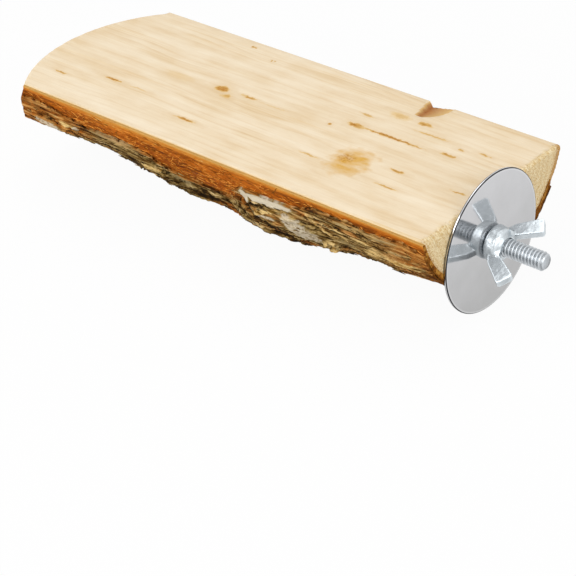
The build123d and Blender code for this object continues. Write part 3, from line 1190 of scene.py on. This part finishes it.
# %% Outer bark mesh
plain_bark = (1 - pale) * (1 - 0.8 * most(gold, black)) * (1 - 0.7 * rust)
flaky = plain_bark * ease(0.0, 0.03, along) * ease(1.0, 0.97, along) * np.clip(0.7 + 0.5 * steps, 0, 1)
shares = {"relief": np.clip(relief, -1, 1), "pale": pale, "gold": gold, "black": black, "rust": rust}
outer_bark = bark_piece("outer_bark_rind", outer, inner, rind, 75.0, shares, flaky)
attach(outer_bark, "perch")
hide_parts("outer_bark")
print("outer bark faces", len(outer_bark.data.polygons))

# %% [markdown]
# ## Fibres and flakes
# What makes bark look like bark is what comes loose from it: hairs on the orange layer, flakes on the
# grey one. They are thousands of slivers of a few shapes, so Geometry Nodes strew them over the skins.
# Each sliver is turned to the surface and along the log, with some stray, and keeps a tone of its own,
# which the materials read to make light and dark ones.

# %% A few shapes of sliver
sliver_rings = 5
# Each shape: how far it bends sideways, and how far it curls upwards.
sliver_bends = [(1.2, 0.6), (-2.0, 1.2), (3.4, 0.3), (-0.6, 2.0)]


def sliver_mesh(name, bend, curl):
    """A pointed splinter one unit long, wide and high, bent sideways and curled upwards."""
    points = []
    faces = []
    for ring in range(sliver_rings):
        share = ring / (sliver_rings - 1)
        x = share - 0.5
        size = 0.5 * math.sin(math.pi * (0.06 + 0.88 * share)) ** 0.8
        y = bend * (x * x - 0.25)
        z = curl * x * x
        points += [(x, y - size, z), (x, y, z - size), (x, y + size, z), (x, y, z + size)]
    for low in range(0, 4 * (sliver_rings - 1), 4):
        for corner in range(4):
            after = (corner + 1) % 4
            faces.append((low + corner, low + after, low + 4 + after, low + 4 + corner))
    last = 4 * (sliver_rings - 1)
    faces += [(3, 2, 1, 0), (last, last + 1, last + 2, last + 3)]
    return closed_mesh(name, points, faces)


slivers = bpy.data.collections.new("slivers")
for number, (bend, curl) in enumerate(sliver_bends):
    shape = sliver_mesh(f"sliver_{number}", bend, curl)
    slivers.objects.link(bpy.data.objects.new(shape.name, shape))

# %% Slivers strewn on a skin, as Geometry Nodes
sliver_sizes = ("Shortest", "Longest", "Width", "Thickness")


def close_group(tree, shape, finish, output):
    """Ends a geometry tree: real faces, their material, and the output."""
    real = node(tree, "GeometryNodeRealizeInstances", {"Geometry": shape})
    coated = node(tree, "GeometryNodeSetMaterial", {"Geometry": real, "Material": finish})
    node(tree, "NodeGroupOutput", {output: coated})
    tree.is_modifier = True


def strew_tree():
    """Slivers over a mesh, as many as its sliver attribute asks for."""
    tree, given = new_group("strewn_slivers", "GeometryNodeTree", {
        "Geometry": ("Skin",), "Collection": ("Slivers",),
        "Float": ("Density", *sliver_sizes, "Stray", "Lift", "Axis Y", "Axis Z"),
        "Int": ("Seed",), "Material": ("Finish",),
    }, {"Geometry": ("Strewn",)})
    seed = given["Seed"]

    def chance(low, high, draw):
        """A random number for each point, another one for each draw."""
        settings = {"Min": low, "Max": high, "Seed": seed + draw}
        made = node(tree, "FunctionNodeRandomValue", settings, data_type="FLOAT")
        return Value(tree, live_output(made))

    named = node(tree, "GeometryNodeInputNamedAttribute", {"Name": "sliver"}, data_type="FLOAT")
    many = Value(tree, named.outputs[0]) * given["Density"]
    dots = node(tree, "GeometryNodeDistributePointsOnFaces", {
        "Mesh": given["Skin"], "Density": many, "Seed": seed,
    })
    shapes = node(tree, "GeometryNodeCollectionInfo", {
        "Collection": given["Slivers"], "Separate Children": True, "Reset Children": True,
    })
    _, y, z = split(tree, node(tree, "GeometryNodeInputPosition"))
    outward = node(tree, "ShaderNodeCombineXYZ", {1: y - given["Axis Y"], 2: z - given["Axis Z"]})
    upright = node(tree, "FunctionNodeAlignRotationToVector", {"Vector": outward}, axis="Z")
    along_log = {"Rotation": upright, "Vector": (1.0, 0.0, 0.0)}
    lined = node(tree, "FunctionNodeAlignRotationToVector", along_log, axis="X", pivot_axis="Z")
    sideways = chance(-1.0, 1.0, 0)
    yaw = sideways * abs(sideways) * given["Stray"]
    pitch = chance(-1.0, 1.0, 1) * given["Lift"]
    angles = node(tree, "ShaderNodeCombineXYZ", {1: pitch, 2: yaw})
    stray = {"Rotation": lined, "Rotate By": node(tree, "FunctionNodeEulerToRotation", {0: angles})}
    turned = node(tree, "FunctionNodeRotateRotation", stray, rotation_space="LOCAL")
    spread = given["Longest"] - given["Shortest"]
    long = given["Shortest"] + spread * chance(0.0, 1.0, 2) ** 2.0
    wide = given["Width"] * chance(0.5, 1.5, 3)
    size = node(tree, "ShaderNodeCombineXYZ", {0: long, 1: wide, 2: given["Thickness"]})
    placed = node(tree, "GeometryNodeInstanceOnPoints", {
        "Points": dots, "Instance": shapes, "Pick Instance": True, "Rotation": turned, "Scale": size,
    })
    tone = {"Geometry": placed, "Name": "tone", "Value": chance(0.0, 1.0, 4)}
    toned = node(tree, "GeometryNodeStoreNamedAttribute", tone, data_type="FLOAT", domain="INSTANCE")
    close_group(tree, toned, given["Finish"], "Strewn")
    return tree


strew = strew_tree()
print("strewing nodes", len(strew.nodes))

# %% Strew the fibres and the flakes
fibre_light = seen_colour(224, 152, 66)


def make_sliver_finish(name, dark, middle, light):
    """A splinter's own tone, from dark to light, with fibres along it."""
    sliver = Finish(name)
    fibre = sliver.grain(4.0, 0.25, 3.0)
    level = sliver.attribute("tone") + fibre.spread(-0.25, 0.25)
    colour = sliver.ramp(level, [(0.1, dark), (0.5, middle), (0.95, light)])
    return sliver.done(colour, 0.8, fibre, 0.1, Specular_IOR_Level=bark_gloss)


def grow(piece, tree, values):
    """Runs a geometry tree on a piece, with inputs set by their identifiers, and keeps the mesh."""
    modifier = piece.modifiers.new(tree.name, "NODES")
    modifier.node_group = tree
    for socket in tree.interface.items_tree:
        if socket.name in values:
            modifier[socket.identifier] = values[socket.name]
    return settle(piece)


def strew_on(skin, name, finish, density, sizes, stray, lift, seed):
    """Slivers over a skin as a piece of their own, held inside the slab's box; sizes are in mm, and
    density is counted per square metre."""
    values = {label: size * mm for label, size in zip(sliver_sizes, sizes)}
    values |= {"Density": density, "Stray": stray, "Lift": lift, "Seed": seed, "Finish": finish}
    values |= {"Slivers": slivers, "Axis Y": mid_y * mm, "Axis Z": bast_axis_z * mm}
    piece = grow(add_object(name, skin.data), strew, values)
    points = points_of(piece.data)
    points[:, 0] = np.clip(points[:, 0], -slab_length, 0.0)
    points[:, 1] = np.clip(points[:, 1], bast_front, bast_back)
    points[:, 2] = np.minimum(points[:, 2], top_z)
    set_points(piece.data, points)
    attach(piece, "perch")
    print(name, len(piece.data.polygons), "faces")


fibre_finish = make_sliver_finish("bast_fibre", bast_brown, bast_plain, fibre_light)
flake_finish = make_sliver_finish("rind_flake", rind_black, rind_brown, rind_grey)
strew_on(
    inner_bark, "inner_bark_fibres", fibre_finish,
    density=420000.0, sizes=(1.5, 6.0, 0.26, 0.3), stray=1.0, lift=0.08, seed=11,
)
strew_on(
    outer_bark, "outer_bark_flakes", flake_finish,
    density=120000.0, sizes=(2.0, 6.5, 0.7, 0.4), stray=0.2, lift=0.03, seed=23,
)
for each in list(slivers.objects):
    bpy.data.objects.remove(each)
bpy.data.collections.remove(slivers)

# %% [markdown]
# ## Stud
# The hanger bolt is threaded at both ends: a quarter-inch thread outside, and a coarse wood thread that
# holds it in the slab. A thread is a rule: the radius depends on how far a point is along the rod and
# on the turn. Geometry Nodes write that rule once, on a flat grid that is rolled up, and use it for all
# three lengths.

# %% A rod with a thread, as Geometry Nodes
rod_sizes = ("Start", "Length", "Crest Radius", "Root Radius", "Pitch", "Tip", "Tip Radius")
flank_foot, flank_top = 0.2, 0.86
end_share = 0.001


def thread_tree():
    """Grid rolled into a closed rod whose radius follows a screw."""
    tree, given = new_group("threaded_rod", "GeometryNodeTree", {
        "Float": (*rod_sizes, "Tip Slope"), "Int": ("Steps Along", "Steps Round"), "Material": ("Finish",),
    }, {"Geometry": ("Rod",)})
    grid = node(tree, "GeometryNodeMeshGrid", {
        "Size X": 1.0, "Size Y": 1.0, "Vertices X": given["Steps Along"], "Vertices Y": given["Steps Round"],
    })
    u, v, _ = split(tree, node(tree, "GeometryNodeInputPosition"))
    ahead_share = u + 0.5
    turn_share = v + 0.5
    ahead = ahead_share * given["Length"]
    x = ahead + given["Start"]
    phase = (ahead / given["Pitch"] - turn_share).calc("FRACT")
    crest = abs(phase * 2.0 - 1.0).remap(flank_foot, flank_top)
    thread = given["Root Radius"] + (given["Crest Radius"] - given["Root Radius"]) * crest
    limit = given["Tip Radius"] + abs(given["Tip"] - x) * given["Tip Slope"]
    past_start = ahead_share.calc("GREATER_THAN", end_share)
    between_ends = past_start * ahead_share.calc("LESS_THAN", 1 - end_share)
    radius = thread.calc("MINIMUM", limit) * between_ends
    turn = turn_share * math.tau
    y = radius * turn.calc("COSINE")
    z = radius * turn.calc("SINE")
    place = node(tree, "ShaderNodeCombineXYZ", {0: x, 1: y, 2: z})
    # The thread's roots are stored as hollows, where the zinc paints shade.
    hollow = {"Geometry": grid, "Name": "hollow", "Value": crest * -1.0 + 1.0}
    noted = node(tree, "GeometryNodeStoreNamedAttribute", hollow, data_type="FLOAT", domain="POINT")
    rolled = node(tree, "GeometryNodeSetPosition", {"Geometry": noted, "Position": place})
    welded = node(tree, "GeometryNodeMergeByDistance", {"Geometry": rolled, "Distance": weld_mm * mm})
    turned = node(tree, "GeometryNodeFlipFaces", {"Mesh": welded})
    close_group(tree, turned, given["Finish"], "Rod")
    return tree


rod_tree = thread_tree()
print("thread nodes", len(rod_tree.nodes))

# %% Zinc plate for the stud
def make_zinc(name, colour, rough, relief_mm, lump_mm):
    """Bright zinc with a faint mottle, with painted shade in hollows and a painted highlight on sharp edges.
    """
    zinc = Finish(name)
    mottle = zinc.grain(lump_mm * 2, lump_mm * 2, 3.0, 2.0)
    lumps = zinc.grain(lump_mm, lump_mm, 4.0, 8.0)
    hollow = zinc.attribute("hollow")

    def shaded(factor):
        """The plate's colour made darker or lighter, for the mottle and for the painted shade and highlight.
        """
        return (*(min(part * factor, 0.95) for part in colour[:3]), 1.0)

    tint = zinc.mix(mottle.remap(0.35, 0.7), colour, shaded(0.8))
    # Painted shade deep in hollows, and a painted highlight on sharp edges.
    tint = zinc.mix(hollow.remap(0.1, 1.0), tint, shaded(0.55))
    tint = zinc.mix(hollow.remap(-0.2, -1.0), tint, shaded(1.25))
    dullness = mottle.spread(rough * 0.8, rough * 1.25)
    return zinc.done(tint, dullness, lumps, relief_mm, Metallic=1.0)


zinc_plate = make_zinc("zinc_plate", seen_colour(206, 211, 215), 0.3, 0.012, 0.8)
print(zinc_plate.name)

# %% The three lengths of the bolt
(bolt_point, _, _), (stud_length, _, stud_radius) = in_mm(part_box("hanger_bolt"))
stud_sink = 0.2
thread_pitch, thread_depth, stud_tip_radius = 1.27, 0.68, 2.2
shank_length, shank_radius = 5.0, 2.65
screw_pitch, screw_crest, screw_root = 2.6, 2.9, 2.1
point_radius, point_slope = 0.05, 0.45


def add_rod(name, sizes, tip_slope, steps_along, steps_round):
    """One length of the bolt; its sizes are in mm, in the order of rod_sizes."""
    values = {label: size * mm for label, size in zip(rod_sizes, sizes)}
    values |= {"Tip Slope": tip_slope, "Steps Along": steps_along, "Steps Round": steps_round}
    values["Finish"] = zinc_plate
    return grow(add_object(name, bpy.data.meshes.new(name)), rod_tree, values)


stud = add_rod("hanger_bolt_steel", (
    -stud_sink, stud_length + stud_sink, stud_radius, stud_radius - thread_depth,
    thread_pitch, stud_length, stud_tip_radius,
), 1.0, 300, 65)
shank = add_rod("bolt_shank", (
    -shank_length, shank_length - stud_sink, shank_radius, shank_radius, 1.0, 0.0, shank_radius,
), 1.0, 6, 33)
screw = add_rod("bolt_screw", (
    bolt_point, -shank_length - bolt_point, screw_crest, screw_root, screw_pitch, bolt_point, point_radius,
), point_slope, 150, 33)
work = bmesh.new()
for each in (stud, shank, screw):
    work.from_mesh(each.data)
work.to_mesh(stud.data)
work.free()
for each in (shank, screw):
    bpy.data.objects.remove(each)
shade_smooth(stud.data, 50.0)
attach(stud, "perch")
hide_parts("hanger_bolt")
print("bolt faces", len(stud.data.polygons))

# %% [markdown]
# ## Washer
# A broad washer of polished steel spreads the clamping force. It is turned: an outline of thickness and
# radius goes round the axis. The rims are rounded in small steps, with a line of points close beside
# each rounding, so that the flat faces stay true mirrors right up to their edges.

# %% Polished steel
(washer_back, _, _), (washer_front, _, washer_radius) = in_mm(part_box("clamp_washer"))
steel_shaded_low = seen_colour(178, 178, 178)
steel_lit_high = seen_colour(204, 204, 206)
steel_highlight = seen_colour(244, 244, 246)
highlight_from, highlight_to = washer_radius - 1.0, washer_radius - 0.5


def make_polish():
    """Mirror steel with faint wiping marks, darker towards the bottom and lighter towards the top as a
    painted reflection, with a painted highlight along its rim.
    """
    steel = Finish("polished_steel")
    haze = steel.grain(9.0, 9.0, 3.0)
    wipe = steel.grain(1.0, 0.5, 2.0, 5.0)
    # Painted reflection: the steel's colour runs from darker at the bottom to lighter at the top.
    rise = split(steel.tree, steel.place)[2].remap(-washer_radius, washer_radius)
    level = rise + haze.spread(-0.1, 0.1)
    colour = steel.ramp(level, [(0.05, steel_shaded_low), (0.95, steel_lit_high)])
    # Painted highlight: a lighter band along the rim.
    rim_highlight = steel.from_line(0.0, 0.0).remap(highlight_from, highlight_to, 0.0, 0.3)
    colour = steel.mix(rim_highlight, colour, steel_highlight)
    rough = haze.spread(0.05, 0.09) + wipe.remap(0.5, 0.8, 0.0, 0.03)
    return steel.done(colour, rough, haze, 0.015, Metallic=1.0)


polish = make_polish()
# The rim's rounding is dark steel: partly a sheared edge, partly a painted dark reflection.
sheared_and_dark_reflection = make_zinc("sheared_edge", seen_colour(70, 70, 72), 0.45, 0.04, 0.3)
print(polish.name, sheared_and_dark_reflection.name)

# %% Outline of the washer
bore_radius = 3.5
rim_round, bore_round = 0.34, 0.12
beside_round = 0.04
round_steps = 5


def rounded_corner(x, radius, across, outward, size):
    """Points of a quarter round between a flat face and a rim, from the face to the rim."""
    corner = []
    for step in range(round_steps + 1):
        angle = math.pi / 2 * step / round_steps
        corner.append((
            x - across * size * (1 - math.cos(angle)),
            radius - outward * size * (1 - math.sin(angle)),
        ))
    return corner


def washer_outline():
    """Closed outline of (x, radius), with a support point beside each rounding."""
    flat_from = bore_radius + bore_round + beside_round
    flat_to = washer_radius - rim_round - beside_round
    outline = [(washer_front, flat_from), (washer_front, flat_to)]
    outline += rounded_corner(washer_front, washer_radius, 1, 1, rim_round)
    outline += rounded_corner(washer_back, washer_radius, -1, 1, rim_round)[::-1]
    outline += [(washer_back, flat_to), (washer_back, flat_from)]
    outline += rounded_corner(washer_back, bore_radius, -1, -1, bore_round)
    outline += rounded_corner(washer_front, bore_radius, 1, -1, bore_round)[::-1]
    return outline


print("washer outline has", len(washer_outline()), "points")

# %% Turn the washer
turn_steps = 160
dark_rim_from, dark_rim_to = 0.03 * rim_round, 0.95 * rim_round


def turned_mesh(name, outline):
    """Closed ring made by turning a closed outline about the X axis."""
    points = []
    faces = []
    count = len(outline)
    for step in range(turn_steps):
        angle = math.tau * step / turn_steps
        points += [(x * mm, r * math.cos(angle) * mm, r * math.sin(angle) * mm) for x, r in outline]
        here = step * count
        after = (step + 1) % turn_steps * count
        for this in range(count):
            following = (this + 1) % count
            faces.append((here + this, after + this, after + following, here + following))
    return closed_mesh(name, points, faces)


mesh = turned_mesh("clamp_washer_plate", washer_outline())
mesh.materials.append(polish)
mesh.materials.append(sheared_and_dark_reflection)
# Faces on the rim's rounding take the dark edge steel, in part a painted dark reflection.
for face in mesh.polygons:
    inward = washer_radius - math.hypot(face.center.y, face.center.z) / mm
    face.material_index = int(dark_rim_from < inward < dark_rim_to)
shade_smooth(mesh, 60.0)
washer = add_object("clamp_washer_plate", mesh)
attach(washer, "washer")
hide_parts("clamp_washer")
print("washer faces", len(mesh.polygons))

# %% [markdown]
# ## Wing nut
# The wing nut is a rough casting with bright zinc on it. Castings have no sharp corners, so its solid is
# copied, rebuilt on a fine grid and smoothed, which rounds the wings' edges and fills their roots. A
# little noise then gives it the skin of a casting, and its hub is drawn in at the base and domed on top.

# %% Zinc of a casting, and where its hollows lie
def hollows(mesh, points, normals, rounds=5):
    """How far each point lies in a hollow: 1 deep in a corner, -1 on a sharp edge."""
    ends = np.empty(len(mesh.edges) * 2, dtype=np.int32)
    mesh.edges.foreach_get("vertices", ends)
    pairs = ends.reshape(-1, 2)
    first, second = np.concatenate([pairs, pairs[:, ::-1]]).T
    count = np.bincount(first, minlength=len(points))

    def neighbours(values):
        """Mean of the values at the points next to each point."""
        return np.bincount(first, weights=values[second], minlength=len(points)) / count

    bend = sum((neighbours(points[:, axis]) - points[:, axis]) * normals[:, axis] for axis in range(3))
    for _ in range(rounds):
        bend = (bend + neighbours(bend)) / 2
    return np.clip(bend / np.percentile(np.abs(bend), 97), -1.0, 1.0)


zinc_cast = make_zinc("zinc_casting", seen_colour(205, 212, 216), 0.3, 0.06, 0.9)
print(zinc_cast.name)

# %% Cast the nut
nut_grid = 0.2
nut_smoothing = 9
cast_relief = 0.05
base_taper, base_height = 1.3, 1.4
hub_top = washer_front + 6.0
dome_drop = 1.1
wing_turn = math.radians(22.0)
hub_core, hub_skin = 4.0, 5.0
wing_half, wing_clear = 1.5, 2.6
dome_from, dome_to = 3.3, 5.4
dome_start, dome_full = hub_top - 2.5, hub_top - 0.2

nut = even_copy("wing_nut", "wing_nut_casting", nut_grid)
soften = nut.modifiers.new("soften", "SMOOTH")
soften.factor = 0.5
soften.iterations = nut_smoothing
nut = settle(nut)
points = points_of(nut.data)
normals = read_vectors(nut.data, "normal")
# Hollows and sharp edges are stored for the zinc's painted shade and painted highlight.
set_attribute(nut.data, "hollow", hollows(nut.data, points, normals))
points += normals * (cast_relief * wander(points, (1.6, 1.6, 1.6), 6.0))[:, None]
from_axis = np.hypot(points[:, 1], points[:, 2])
low_down = np.clip(1 - (points[:, 0] - washer_front) / base_height, 0.0, 1.0)
drawn_in = 1 - base_taper * low_down**2 * ease(hub_core, hub_skin, from_axis) / np.maximum(from_axis, 1.0)
points[:, 1:] *= drawn_in[:, None]
off_wing = np.abs(points[:, 2] * math.cos(wing_turn) - points[:, 1] * math.sin(wing_turn))
on_hub = ease(wing_half, wing_clear, off_wing) * ease(dome_start, dome_full, points[:, 0])
points[:, 0] -= dome_drop * on_hub * ease(dome_from, dome_to, from_axis)
set_points(nut.data, points)
nut.data.materials.append(zinc_cast)
shade_smooth(nut.data, 80.0)
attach(nut, "nut")
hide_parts("wing_nut")
print("nut faces", len(nut.data.polygons))
